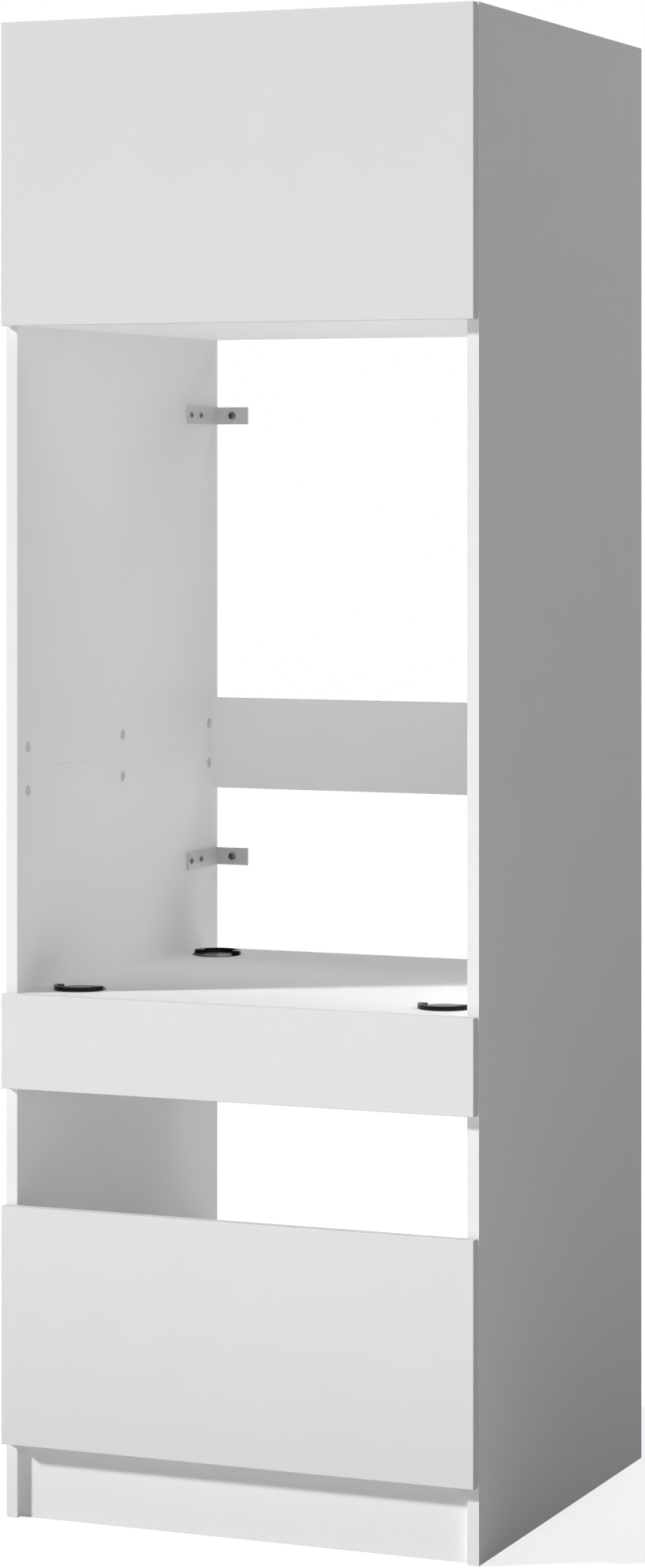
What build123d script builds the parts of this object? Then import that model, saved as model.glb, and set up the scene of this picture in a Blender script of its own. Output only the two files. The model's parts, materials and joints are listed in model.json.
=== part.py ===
"""Tall housing for a washing machine.

Bottom to top: a plinth, a deep drawer, an open slot, a shallow pull-out tray under the machine's
platform, the open machine niche and a closed compartment behind one door. The side panels are made in
two lengths that meet at mid-height and are drawn together by cam locks.

Millimetres. X runs to the right, Y to the back and Z up. The origin is on the floor, under the middle
of the whole cabinet.
"""
import os

from build123d import *

os.makedirs("parts", exist_ok=True)

# Carcass
overall_width = 675
carcass_depth = 654.5
board = 16
seam_height = 1000
edge_break = 0.5

# Heights, from the floor up
plinth_height = 100
drawer_front_height = 318
slot_height = 157
tray_front_height = 126
niche_height = 892
door_height = 405

# Fronts, which cover the edges of the carcass
front_board = 16
front_gap = 2
front_inset = 0.5
front_reveal = 1
front_radius = 1

# Plinth, rails and platform
plinth_recess = 10
rail_height = 132
platform_depth = 604
platform_layer = 16
angle_leg = 30
angle_sheet = 3
angle_end_gap = 20
angle_screw_end_distance = 45
angle_screw_count = 4

# Back of the upper compartment
back_sheet = 3
back_sheet_inset = 12
groove_depth = 6
groove_play = 0.2

# Dowels
dowel_radius = 4
dowel_length = 30
dowel_in_face = 12
dowel_edge_distance = 60
rail_dowel_pitch = 80
plinth_dowel_pitch = 50
seam_dowel_setback = 150
hole_play = 0.05
hole_extra_depth = 0.5

# Cam locks across the seam of the side panels
cam_radius = 7.5
cam_depth = 12.5
cam_to_seam = 29.3
cam_front_setback = 32.5
cam_back_setback = 29
cam_cap = 1.2
cam_cap_sink = 0.8
bolt_radius = 3
bolt_neck_radius = 2
bolt_head_radius = 3.4
bolt_head_length = 4
bolt_bore_radius = 3.7
bolt_sleeve_end_gap = 0.5
cam_play = 0.1

# Wall brackets
bracket_below_seam = 168
bracket_below_compartment = 112
bracket_height = 25
bracket_sheet = 3
bracket_side_leg = 109
bracket_back_leg = 50
bracket_bend = 4
bracket_side_holes = (11, 44)
wall_hole_radius = 2.75
bracket_screw_radius = 1.75
bracket_screw_head_radius = 4
pan_head = 2
bracket_screw_length = 14

# Foot holders on the platform
holder_side_setback = 58.5
holder_front_setback = 70.5
holder_pitch = 451.5
holder_radius = 35
holder_base = 1.2
holder_height = 6.2
holder_wall = 5
holder_boss_width = 12
holder_boss_length = 10
holder_edge = 0.8
holder_screw_radius = 1.75
holder_screw_head_radius = 3.3
holder_screw_length = 14
flat_head = 1.6

# Ball-bearing runners
runner_length = 500
runner_width = 12.7
runner_height = 45
runner_sheet = 1.2
runner_play = 0.3
runner_setback = 2
runner_screw_end_distance = 50
runner_screw_radius = 1.5
runner_screw_head_radius = 3
runner_screw_length = 9

# Drawer boxes
box_board = 12
box_floor = 5
box_floor_height = 10
box_groove = 6
box_dowel_radius = 3
box_dowel_length = 24
box_dowel_in_face = 8
box_dowel_edge_distance = 16
drawer_box_bottom = 131
drawer_box_height = 170
drawer_runner_rise = 60
tray_box_bottom = 588
tray_box_height = 70
tray_runner_rise = 25

# Door hinges
hinge_end_distance = 80
pin_edge_distance = 5.5
pin_depth = 10.5
pin_radius = 1
pin_length = 14
knuckle_radius = 1.8
pin_play = 0.05
cup_radius = 17.5
cup_edge_distance = 2.1
cup_depth = 12.9
pocket_side_gap = 2.1
pocket_length = 26.6
pocket_width = 10
pocket_floor_play = 0.3
cup_bore_play = 0.1
cup_bore_extra_depth = 0.15
flange_length = 26
flange_height = 62
flange_corner = 6
flange_sheet = 1
flange_edge_distance = 8
flange_hole_pitch = 52
flange_hole_inset = 4.9
arm_width = 9
arm_sheet = 2.5
arm_bar_in_front_of_pin = 1.3
arm_bar_behind_pin = 0.5
arm_reach = 14.5
arm_bend_setback = 8
arm_channel_setback = 22
arm_end_setback = 74
arm_stand_off = 12.5
arm_channel_width = 18
arm_channel_wall = 1.3
arm_channel_lip = 7.5
plate_setback = 37
plate_front_setback = 26
plate_length = 36
plate_wing_height = 48
plate_wing_width = 12
plate_sheet = 2.2
plate_rail_width = 14
plate_hole_pitch = 32
hinge_screw_radius = 1.75
hinge_screw_head_radius = 3.5
hinge_screw_length = 12
cup_screw_head = 1.2

# Push catch
catch_radius = 5
catch_length = 50
catch_flange_radius = 7
catch_flange = 0.8
plunger_radius = 3
plunger_length = 40
plunger_play = 0.1
plunger_stand_out = 1.1
plunger_bore_depth = 45
strike_radius = 5
strike_sheet = 0.5

# Levels and planes worked out from the sizes above
drawer_front_bottom = plinth_height + front_reveal
slot_bottom = drawer_front_bottom + drawer_front_height
slot_top = slot_bottom + slot_height
platform_top = slot_top + tray_front_height
niche_top = platform_top + niche_height
door_top = niche_top + door_height
overall_height = door_top + front_reveal
bottom_panel_top = plinth_height + board
compartment_bottom = niche_top + board
compartment_top = overall_height - board
platform_bottom = platform_top - 2 * platform_layer

overall_depth = front_board + front_gap + carcass_depth
front_face = -overall_depth / 2
door_back = front_face + front_board
carcass_front = door_back + front_gap
carcass_back = overall_depth / 2
platform_back = carcass_front + platform_depth
outer_x = overall_width / 2
inner_x = outer_x - board
LEFT, RIGHT = -1, 1


def save(piece, name):
    """Label a finished piece and write it to its own file."""
    piece.label = name
    export_step(piece, f"parts/{name}.step")


def block(x0, x1, y0, y1, z0, z1):
    """A plain board between two corners."""
    with BuildPart() as piece:
        with BuildSketch(Plane.XY.offset(z0)):
            with Locations(((x0 + x1) / 2, (y0 + y1) / 2)):
                Rectangle(abs(x1 - x0), abs(y1 - y0))
        extrude(amount=z1 - z0)
    return piece.part


def rod(start, direction, radius, length):
    """A round rod from a point along a direction; also used as the shape of a drilled hole."""
    with BuildPart() as piece:
        with BuildSketch(Plane(origin=start, z_dir=direction)):
            Circle(radius)
        extrude(amount=length)
    return piece.part


def pan_screw(start, direction, radius, length, head_radius, head):
    """A screw whose head lies on the surface: start is under its head and its shank runs along direction."""
    with BuildPart() as piece:
        add(rod(start, direction, radius, length))
        add(rod(start, [-share for share in direction], head_radius, head))
    return piece.part


def flat_screw(start, direction, radius, length, head_radius, head):
    """A screw whose cone-shaped head ends flush at start; with some play it is also its own hole."""
    with BuildPart() as piece:
        with BuildSketch(Plane.XZ):
            Polygon((0, 0), (head_radius, 0), (radius, head), (radius, length), (0, length), align=None)
        revolve(axis=Axis.Z)
    return piece.part.moved(Plane(origin=start, z_dir=direction).location)


def front_panel(z0, height):
    """A front with slightly rounded edges on both faces."""
    half_width = outer_x - front_inset
    with BuildPart() as piece:
        add(block(-half_width, half_width, front_face, door_back, z0, z0 + height))
        fillet(piece.edges().filter_by(Axis.Y, reverse=True), front_radius)
    return piece.part


# Where dowels pin each board to the sides, as (y, z) on the sides' inner faces
across_carcass = (carcass_front + dowel_edge_distance, (carcass_front + carcass_back) / 2,
                  carcass_back - dowel_edge_distance)
across_platform = (carcass_front + dowel_edge_distance, (carcass_front + platform_back) / 2,
                   platform_back - dowel_edge_distance)
rail_y = carcass_back - board / 2
plinth_y = carcass_front + plinth_recess + board / 2
lower_rail_z = bottom_panel_top + rail_height / 2
bottom_panel_pins = [(y, plinth_height + board / 2) for y in across_carcass]
platform_pins = [(y, platform_top - platform_layer / 2) for y in across_platform]
floor_pins = [(y, niche_top + board / 2) for y in across_carcass]
lower_rail_pins = [(rail_y, lower_rail_z + d) for d in (-rail_dowel_pitch / 2, rail_dowel_pitch / 2)]
seam_rail_pins = [(rail_y, seam_height + d) for d in (-rail_dowel_pitch / 2, rail_dowel_pitch / 2)]
plinth_pins = [(plinth_y, plinth_height / 2 + d) for d in (-plinth_dowel_pitch / 2, plinth_dowel_pitch / 2)]
side_pins = bottom_panel_pins + platform_pins + floor_pins + lower_rail_pins + seam_rail_pins + plinth_pins
seam_dowel_ys = (carcass_front + seam_dowel_setback, carcass_back - seam_dowel_setback)
cam_front_y = carcass_front + cam_front_setback
cam_back_y = carcass_back - cam_back_setback
cam_ys = (cam_front_y, (cam_front_y + cam_back_y) / 2, cam_back_y)
bracket_heights = (seam_height - bracket_below_seam, niche_top - bracket_below_compartment)
bracket_screw_ys = [carcass_back - bracket_side_leg + d for d in bracket_side_holes]
angle_front = carcass_front + angle_end_gap
angle_back = platform_back - angle_end_gap
angle_screw_z = platform_bottom - angle_leg / 2
angle_screw_pitch = (angle_back - angle_front - 2 * angle_screw_end_distance) / (angle_screw_count - 1)
angle_screw_ys = [angle_front + angle_screw_end_distance + i * angle_screw_pitch
                  for i in range(angle_screw_count)]
hinge_heights = (niche_top + hinge_end_distance, door_top - hinge_end_distance)
hinge_screw_heights = [z + d for z in hinge_heights for d in (-plate_hole_pitch / 2, plate_hole_pitch / 2)]
pin_x = LEFT * (outer_x - front_inset) + pin_edge_distance
pin_y = door_back - pin_depth
cup_x = LEFT * (outer_x - front_inset) + cup_edge_distance + cup_radius
flange_x = LEFT * (outer_x - front_inset) + flange_edge_distance
cup_screw_x = flange_x + flange_length - flange_hole_inset
cup_screw_offsets = (-flange_hole_pitch / 2, flange_hole_pitch / 2)
arm_web_x = LEFT * inner_x + arm_stand_off
catch_z = niche_top + door_height / 2
catch_x = RIGHT * (outer_x - board / 2)
runner_front = carcass_front + runner_setback
runner_back = runner_front + runner_length
runner_screw_ys = (runner_front + runner_screw_end_distance, runner_back - runner_screw_end_distance)
drawer_runner_z = drawer_box_bottom + drawer_runner_rise
tray_runner_z = tray_box_bottom + tray_runner_rise
box_outer_x = inner_x - runner_width
box_inner_x = box_outer_x - box_board
box_back = door_back + runner_length
dowel_hole = dowel_radius + hole_play
groove_back = carcass_back - back_sheet_inset
groove_front = groove_back - back_sheet - groove_play


def pin_holes(points, depth_out, depth_in):
    """Dowel holes along X at both sides' inner faces, as deep outwards and inwards as asked."""
    with BuildPart() as holes:
        for side in (LEFT, RIGHT):
            for y, z in points:
                start = (side * (inner_x - depth_in), y, z)
                add(rod(start, (side, 0, 0), dowel_hole, depth_in + depth_out))
    return holes.part


def drilled_board(body, pins):
    """A board with dowel holes in its two ends."""
    depth = dowel_length - dowel_in_face + hole_extra_depth
    with BuildPart() as piece:
        add(body)
        add(pin_holes(pins, 0, depth), mode=Mode.SUBTRACT)
    return piece.part


def side_panel(side, lower):
    """One length of a side panel, with every hole that it carries on the real cabinet."""
    z0, z1 = (0, seam_height) if lower else (seam_height, compartment_top)
    away = -1 if lower else 1
    face = side * inner_x
    outwards = (side, 0, 0)
    face_depth = dowel_in_face + hole_extra_depth
    with BuildPart() as piece:
        add(block(face, side * outer_x, carcass_front, carcass_back, z0, z1))
        seam_edges = piece.edges().filter_by(Axis.Y).filter_by_position(Axis.Z, seam_height, seam_height)
        chamfer(seam_edges, edge_break)
        if not lower:
            top_edges = piece.edges().filter_by(Axis.Y).filter_by_position(Axis.Z, z1, z1)
            chamfer(top_edges.sort_by_distance((side * outer_x, 0, z1))[0], edge_break)
        holes = [rod((face, y, z), outwards, dowel_hole, face_depth) for y, z in side_pins if z0 < z < z1]
        for y in cam_ys:
            holes.append(rod((face, y, seam_height + away * cam_to_seam), outwards,
                             cam_radius + hole_play, cam_depth + cam_cap_sink))
            holes.append(rod((side * (outer_x - board / 2), y, seam_height), (0, 0, away),
                             bolt_bore_radius, cam_to_seam))
        for y in seam_dowel_ys:
            holes.append(rod((side * (outer_x - board / 2), y, seam_height), (0, 0, away),
                             dowel_hole, dowel_length / 2 + hole_extra_depth))
        for z in bracket_heights:
            if z0 < z < z1:
                for y in bracket_screw_ys:
                    holes.append(rod((face, y, z), outwards, bracket_screw_radius + hole_play,
                                     bracket_screw_length - bracket_sheet + hole_extra_depth))
        if lower:
            for y in angle_screw_ys:
                holes.append(rod((face, y, angle_screw_z), outwards, bracket_screw_radius + hole_play,
                                 bracket_screw_length - angle_sheet + hole_extra_depth))
            for z in (drawer_runner_z, tray_runner_z):
                for y in runner_screw_ys:
                    holes.append(rod((face, y, z), outwards, runner_screw_radius + hole_play,
                                     runner_screw_length - runner_sheet + hole_extra_depth))
        else:
            for y in across_carcass:
                holes.append(rod((side * (outer_x - board / 2), y, compartment_top), (0, 0, -1),
                                 dowel_hole, dowel_length - dowel_in_face + hole_extra_depth))
            add(block(face, side * (inner_x + groove_depth), groove_front, groove_back,
                      compartment_bottom - groove_depth, compartment_top), mode=Mode.SUBTRACT)
            if side == LEFT:
                for z in hinge_screw_heights:
                    holes.append(rod((face, carcass_front + plate_setback, z), outwards,
                                     hinge_screw_radius + hole_play,
                                     hinge_screw_length - plate_sheet + hole_extra_depth))
            else:
                holes.append(rod((catch_x, carcass_front, catch_z), (0, 1, 0),
                                 catch_radius + hole_play, catch_length + hole_extra_depth))
        add(holes, mode=Mode.SUBTRACT)
    return piece.part


# Side panels
for side, hand in ((LEFT, "left"), (RIGHT, "right")):
    save(side_panel(side, lower=True), f"side_{hand}_lower")
    save(side_panel(side, lower=False), f"side_{hand}_upper")

# Top panel, which lies over the sides
with BuildPart() as top_panel:
    add(block(-outer_x, outer_x, carcass_front, carcass_back, compartment_top, overall_height))
    for side in (LEFT, RIGHT):
        for y in across_carcass:
            add(rod((side * (outer_x - board / 2), y, compartment_top), (0, 0, 1), dowel_hole,
                    dowel_in_face + hole_extra_depth), mode=Mode.SUBTRACT)
    add(block(-inner_x - groove_depth, inner_x + groove_depth, groove_front, groove_back,
              compartment_top, compartment_top + groove_depth), mode=Mode.SUBTRACT)
save(top_panel.part, "top_panel")

# Floor and back of the upper compartment
with BuildPart() as compartment_floor:
    add(drilled_board(block(-inner_x, inner_x, carcass_front, carcass_back, niche_top, compartment_bottom),
                      floor_pins))
    add(block(-inner_x, inner_x, groove_front, groove_back,
              compartment_bottom - groove_depth, compartment_bottom), mode=Mode.SUBTRACT)
save(compartment_floor.part, "compartment_floor")

sheet_reach = groove_depth - groove_play
save(block(-inner_x - sheet_reach, inner_x + sheet_reach, groove_front + groove_play / 2,
           groove_back - groove_play / 2, compartment_bottom - sheet_reach, compartment_top + sheet_reach),
     "compartment_back")

# Bottom panel, plinth and the two rails across the open back
save(drilled_board(block(-inner_x, inner_x, carcass_front, carcass_back, plinth_height, bottom_panel_top),
                   bottom_panel_pins), "bottom_panel")
save(drilled_board(block(-inner_x, inner_x, plinth_y - board / 2, plinth_y + board / 2, 0, plinth_height),
                   plinth_pins), "plinth_board")
save(drilled_board(block(-inner_x, inner_x, carcass_back - board, carcass_back,
                         seam_height - rail_height / 2, seam_height + rail_height / 2),
                   seam_rail_pins), "seam_rail")
save(drilled_board(block(-inner_x, inner_x, carcass_back - board, carcass_back,
                         bottom_panel_top, bottom_panel_top + rail_height), lower_rail_pins), "lower_rail")

# Machine platform: two boards, one on the other, on a steel angle along each side
holder_x = inner_x - holder_side_setback
holder_ys = (carcass_front + holder_front_setback, carcass_front + holder_front_setback + holder_pitch)
boss_centre = holder_radius - holder_boss_width / 2
with BuildPart() as platform_board:
    add(drilled_board(block(-inner_x, inner_x, carcass_front, platform_back,
                            platform_top - platform_layer, platform_top), platform_pins))
    for x in (-holder_x, holder_x):
        for y, towards in zip(holder_ys, (-1, 1)):
            for boss in (-boss_centre, boss_centre):
                add(rod((x + boss, y + towards * holder_boss_length / 2, platform_top), (0, 0, -1),
                        holder_screw_radius + hole_play,
                        holder_screw_length - holder_height + hole_extra_depth), mode=Mode.SUBTRACT)
save(platform_board.part, "platform_board")
save(block(-inner_x, inner_x, carcass_front, platform_back, platform_bottom, platform_top - platform_layer),
     "platform_underlay")

for side, hand in ((LEFT, "left"), (RIGHT, "right")):
    with BuildPart() as angle:
        with BuildSketch(Plane.XZ.offset(-angle_front)):
            with Locations((side * inner_x, platform_bottom)):
                Rectangle(angle_leg, angle_leg, align=(Align.MAX if side == RIGHT else Align.MIN, Align.MAX))
            with Locations((side * (inner_x - angle_sheet), platform_bottom - angle_sheet)):
                Rectangle(angle_leg, angle_leg, align=(Align.MAX if side == RIGHT else Align.MIN, Align.MAX),
                          mode=Mode.SUBTRACT)
        extrude(amount=angle_front - angle_back)
        for y in angle_screw_ys:
            add(rod((side * inner_x, y, angle_screw_z), (-side, 0, 0), bracket_screw_radius + hole_play,
                    angle_sheet), mode=Mode.SUBTRACT)
    save(angle.part, f"platform_angle_{hand}")

# Foot holders: a round dish whose wall stands on the outer half and ends in two screw bosses
for side, hand in ((LEFT, "left"), (RIGHT, "right")):
    for y, towards, end in ((holder_ys[0], -1, "front"), (holder_ys[1], 1, "rear")):
        seat = Plane(origin=(side * holder_x, y, platform_top))
        with BuildPart() as foot_holder:
            with BuildSketch(seat):
                Circle(holder_radius)
            extrude(amount=holder_base)
            with BuildSketch(seat):
                Circle(holder_radius)
                Circle(holder_radius - holder_wall, mode=Mode.SUBTRACT)
                with Locations((0, towards * holder_radius / 2)):
                    Rectangle(2 * holder_radius, holder_radius, mode=Mode.INTERSECT)
                with Locations((-boss_centre, towards * holder_boss_length / 2),
                               (boss_centre, towards * holder_boss_length / 2)):
                    Rectangle(holder_boss_width, holder_boss_length)
                Circle(holder_radius, mode=Mode.INTERSECT)
            extrude(amount=holder_height)
            fillet(foot_holder.faces().sort_by(Axis.Z)[-1].edges(), holder_edge)
            for boss in (-boss_centre, boss_centre):
                add(flat_screw((side * holder_x + boss, y + towards * holder_boss_length / 2,
                                platform_top + holder_height), (0, 0, -1), holder_screw_radius + hole_play,
                               holder_height, holder_screw_head_radius + hole_play, flat_head),
                    mode=Mode.SUBTRACT)
        save(foot_holder.part, f"foot_holder_{end}_{hand}")

# Cam locks: a cam on each side of the seam, the bolt between the two and a plain cap over each
chamber_length = bolt_head_length + 2 * cam_play
sleeve_reach = cam_to_seam - cam_radius - bolt_sleeve_end_gap
with BuildPart() as seam_cams:
    for side in (LEFT, RIGHT):
        for y in cam_ys:
            for away in (-1, 1):
                bolt_x = side * (outer_x - board / 2)
                z = seam_height + away * cam_to_seam
                add(rod((side * (inner_x + cam_cap_sink + cam_cap), y, z), (side, 0, 0), cam_radius,
                        cam_depth - cam_cap))
                add(rod((bolt_x, y, z + away * chamber_length / 2), (0, 0, -away),
                        bolt_head_radius + cam_play, chamber_length), mode=Mode.SUBTRACT)
                add(rod((bolt_x, y, z), (0, 0, -away), bolt_neck_radius + cam_play, cam_radius),
                    mode=Mode.SUBTRACT)
save(seam_cams.part, "seam_cams")

with BuildPart() as seam_cam_caps:
    for side in (LEFT, RIGHT):
        for y in cam_ys:
            for away in (-1, 1):
                add(rod((side * (inner_x + cam_cap_sink), y, seam_height + away * cam_to_seam), (side, 0, 0),
                        cam_radius, cam_cap))
save(seam_cam_caps.part, "seam_cam_caps")

with BuildPart() as seam_bolts:
    for side in (LEFT, RIGHT):
        for y in cam_ys:
            bolt_x = side * (outer_x - board / 2)
            add(rod((bolt_x, y, seam_height - cam_to_seam), (0, 0, 1), bolt_neck_radius, 2 * cam_to_seam))
            add(rod((bolt_x, y, seam_height - sleeve_reach), (0, 0, 1), bolt_radius, 2 * sleeve_reach))
            for away in (-1, 1):
                add(rod((bolt_x, y, seam_height + away * (cam_to_seam + bolt_head_length / 2)), (0, 0, -away),
                        bolt_head_radius, bolt_head_length))
save(seam_bolts.part, "seam_bolts")

with BuildPart() as dowels:
    for side in (LEFT, RIGHT):
        mid_board = side * (outer_x - board / 2)
        for y, z in side_pins:
            add(rod((side * (inner_x + dowel_in_face), y, z), (-side, 0, 0), dowel_radius, dowel_length))
        for y in across_carcass:
            add(rod((mid_board, y, compartment_top + dowel_in_face), (0, 0, -1), dowel_radius, dowel_length))
        for y in seam_dowel_ys:
            add(rod((mid_board, y, seam_height + dowel_length / 2), (0, 0, -1), dowel_radius, dowel_length))
save(dowels.part, "dowels")


# Wall brackets, bent from strip steel
def wall_bracket(side, z):
    """One leg lies on the side panel and the other stands in the back plane, with a hole for the wall."""
    reach = Align.MAX if side == RIGHT else Align.MIN
    with BuildPart() as piece:
        with BuildSketch(Plane.XY.offset(z - bracket_height / 2)):
            with Locations((side * inner_x, carcass_back)):
                Rectangle(bracket_back_leg, bracket_side_leg, align=(reach, Align.MAX))
            with Locations((side * (inner_x - bracket_sheet), carcass_back - bracket_sheet)):
                Rectangle(bracket_back_leg, bracket_side_leg, align=(reach, Align.MAX), mode=Mode.SUBTRACT)
        extrude(amount=bracket_height)
        outer_bend = piece.edges().filter_by(Axis.Z).sort_by_distance((side * inner_x, carcass_back, z))
        fillet(outer_bend[0], bracket_bend)
        inner_bend = piece.edges().filter_by(Axis.Z).sort_by_distance(
            (side * (inner_x - bracket_sheet), carcass_back - bracket_sheet, z))
        fillet(inner_bend[0], bracket_bend - bracket_sheet)
        for y in bracket_screw_ys:
            add(rod((side * inner_x, y, z), (-side, 0, 0), bracket_screw_radius + hole_play, bracket_sheet),
                mode=Mode.SUBTRACT)
        add(rod((side * (inner_x - bracket_back_leg / 2), carcass_back, z), (0, -1, 0), wall_hole_radius,
                bracket_sheet), mode=Mode.SUBTRACT)
    return piece.part


for side, hand in ((LEFT, "left"), (RIGHT, "right")):
    for z, level in zip(bracket_heights, ("lower", "upper")):
        save(wall_bracket(side, z), f"wall_bracket_{level}_{hand}")

# Screws of the wall brackets and of the platform's angles, all alike, and those of the foot holders
with BuildPart() as bracket_screws:
    for side in (LEFT, RIGHT):
        seats = [(side * (inner_x - bracket_sheet), y, z) for z in bracket_heights for y in bracket_screw_ys]
        seats += [(side * (inner_x - angle_sheet), y, angle_screw_z) for y in angle_screw_ys]
        for seat in seats:
            add(pan_screw(seat, (side, 0, 0), bracket_screw_radius, bracket_screw_length,
                          bracket_screw_head_radius, pan_head))
save(bracket_screws.part, "bracket_screws")

with BuildPart() as foot_holder_screws:
    for x in (-holder_x, holder_x):
        for y, towards in zip(holder_ys, (-1, 1)):
            for boss in (-boss_centre, boss_centre):
                add(flat_screw((x + boss, y + towards * holder_boss_length / 2, platform_top + holder_height),
                               (0, 0, -1), holder_screw_radius, holder_screw_length,
                               holder_screw_head_radius, flat_head))
save(foot_holder_screws.part, "foot_holder_screws")

# Door
with BuildPart() as door:
    add(front_panel(niche_top, door_height))
    for z in hinge_heights:
        add(rod((cup_x, door_back, z), (0, -1, 0), cup_radius + cup_bore_play,
                cup_depth + cup_bore_extra_depth), mode=Mode.SUBTRACT)
        for offset in cup_screw_offsets:
            add(rod((cup_screw_x, door_back, z + offset), (0, -1, 0), hinge_screw_radius + hole_play,
                    hinge_screw_length - flange_sheet + hole_extra_depth), mode=Mode.SUBTRACT)
    add(rod((catch_x, door_back, catch_z), (0, -1, 0), strike_radius + hole_play, strike_sheet),
        mode=Mode.SUBTRACT)
save(door.part, "door")


# Concealed hinges: a cup let into the door, and an arm that swings out of it about an upright pin
def hinge_cup(z):
    """The cup with its flange, the pocket that the arm folds into and the bore of the pin."""
    pocket_x = pin_x - pocket_side_gap
    with BuildPart() as piece:
        add(rod((cup_x, door_back, z), (0, -1, 0), cup_radius, cup_depth))
        with BuildSketch(Plane.XZ.offset(-door_back)):
            with Locations((flange_x + flange_length / 2, z)):
                RectangleRounded(flange_length, flange_height, flange_corner)
        extrude(amount=-flange_sheet)
        add(block(pocket_x, pocket_x + pocket_length, pin_y - knuckle_radius - pocket_floor_play,
                  door_back + flange_sheet, z - pocket_width / 2, z + pocket_width / 2), mode=Mode.SUBTRACT)
        add(rod((pin_x, pin_y, z - pin_length / 2), (0, 0, 1), pin_radius + pin_play, pin_length),
            mode=Mode.SUBTRACT)
        for offset in cup_screw_offsets:
            add(rod((cup_screw_x, door_back, z + offset), (0, 1, 0), hinge_screw_radius + hole_play,
                    flange_sheet), mode=Mode.SUBTRACT)
    return piece.part


def hinge_arm(z):
    """The arm: a knuckle on the pin, a cranked neck round the door's edge and a channel over the plate."""
    bar_end = pin_x + arm_reach
    bend_y = carcass_front + arm_bend_setback
    channel_y = carcass_front + arm_channel_setback
    with BuildPart() as piece:
        with BuildSketch(Plane.XY.offset(z - arm_width / 2)):
            with Locations((pin_x, pin_y)):
                Circle(knuckle_radius)
            Polygon((pin_x, pin_y - arm_bar_in_front_of_pin), (bar_end, pin_y - arm_bar_in_front_of_pin),
                    (bar_end, bend_y), (arm_web_x, channel_y), (arm_web_x, channel_y + arm_sheet),
                    (arm_web_x - arm_sheet / 2, channel_y + arm_sheet),
                    (bar_end - arm_sheet, bend_y + arm_sheet / 2),
                    (bar_end - arm_sheet, pin_y + arm_bar_behind_pin), (pin_x, pin_y + arm_bar_behind_pin),
                    align=None)
            with Locations((pin_x, pin_y)):
                Circle(pin_radius + pin_play, mode=Mode.SUBTRACT)
        extrude(amount=arm_width)
        with BuildSketch(Plane.XZ.offset(-channel_y)):
            with Locations((arm_web_x, z)):
                Rectangle(arm_channel_lip, arm_channel_width, align=(Align.MAX, Align.CENTER))
            with Locations((arm_web_x - arm_channel_wall, z)):
                Rectangle(arm_channel_lip, arm_channel_width - 2 * arm_channel_wall,
                          align=(Align.MAX, Align.CENTER), mode=Mode.SUBTRACT)
        extrude(amount=arm_channel_setback - arm_end_setback)
    return piece.part


def hinge_plate(z):
    """The mounting plate: two wings for its screws and a raised rail that carries the arm."""
    plate_y = carcass_front + plate_front_setback
    wing_y = carcass_front + plate_setback
    with BuildPart() as piece:
        add(block(-inner_x, plate_sheet - inner_x, wing_y - plate_wing_width / 2,
                  wing_y + plate_wing_width / 2, z - plate_wing_height / 2, z + plate_wing_height / 2))
        add(block(-inner_x, arm_web_x - arm_channel_wall, plate_y, plate_y + plate_length,
                  z - plate_rail_width / 2, z + plate_rail_width / 2))
        for offset in (-plate_hole_pitch / 2, plate_hole_pitch / 2):
            add(rod((-inner_x, wing_y, z + offset), (1, 0, 0), hinge_screw_radius + hole_play, plate_sheet),
                mode=Mode.SUBTRACT)
    return piece.part


with BuildPart() as hinge_cups:
    add([hinge_cup(z) for z in hinge_heights])
save(hinge_cups.part, "hinge_cups")

with BuildPart() as hinge_arms:
    add([hinge_arm(z) for z in hinge_heights])
save(hinge_arms.part, "hinge_arms")

with BuildPart() as hinge_plates:
    add([hinge_plate(z) for z in hinge_heights])
save(hinge_plates.part, "hinge_plates")

with BuildPart() as hinge_pins:
    add([rod((pin_x, pin_y, z - pin_length / 2), (0, 0, 1), pin_radius, pin_length) for z in hinge_heights])
save(hinge_pins.part, "hinge_pins")

with BuildPart() as cup_screws:
    for z in hinge_heights:
        for offset in cup_screw_offsets:
            add(pan_screw((cup_screw_x, door_back + flange_sheet, z + offset), (0, -1, 0), hinge_screw_radius,
                          hinge_screw_length, hinge_screw_head_radius, cup_screw_head))
save(cup_screws.part, "cup_screws")

with BuildPart() as plate_screws:
    for z in hinge_screw_heights:
        add(pan_screw((plate_sheet - inner_x, carcass_front + plate_setback, z), (-1, 0, 0),
                      hinge_screw_radius, hinge_screw_length, hinge_screw_head_radius, pan_head))
save(plate_screws.part, "plate_screws")

# Push catch in the right side panel's front edge, and the strike in the door's back
with BuildPart() as catch_sleeve:
    add(rod((catch_x, carcass_front, catch_z), (0, 1, 0), catch_radius, catch_length))
    add(rod((catch_x, carcass_front, catch_z), (0, -1, 0), catch_flange_radius, catch_flange))
    add(rod((catch_x, carcass_front - catch_flange, catch_z), (0, 1, 0), plunger_radius + plunger_play,
            plunger_bore_depth), mode=Mode.SUBTRACT)
save(catch_sleeve.part, "catch_sleeve")
save(rod((catch_x, carcass_front - plunger_stand_out, catch_z), (0, 1, 0), plunger_radius, plunger_length),
     "catch_plunger")
save(rod((catch_x, door_back, catch_z), (0, -1, 0), strike_radius, strike_sheet), "catch_strike")


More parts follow.
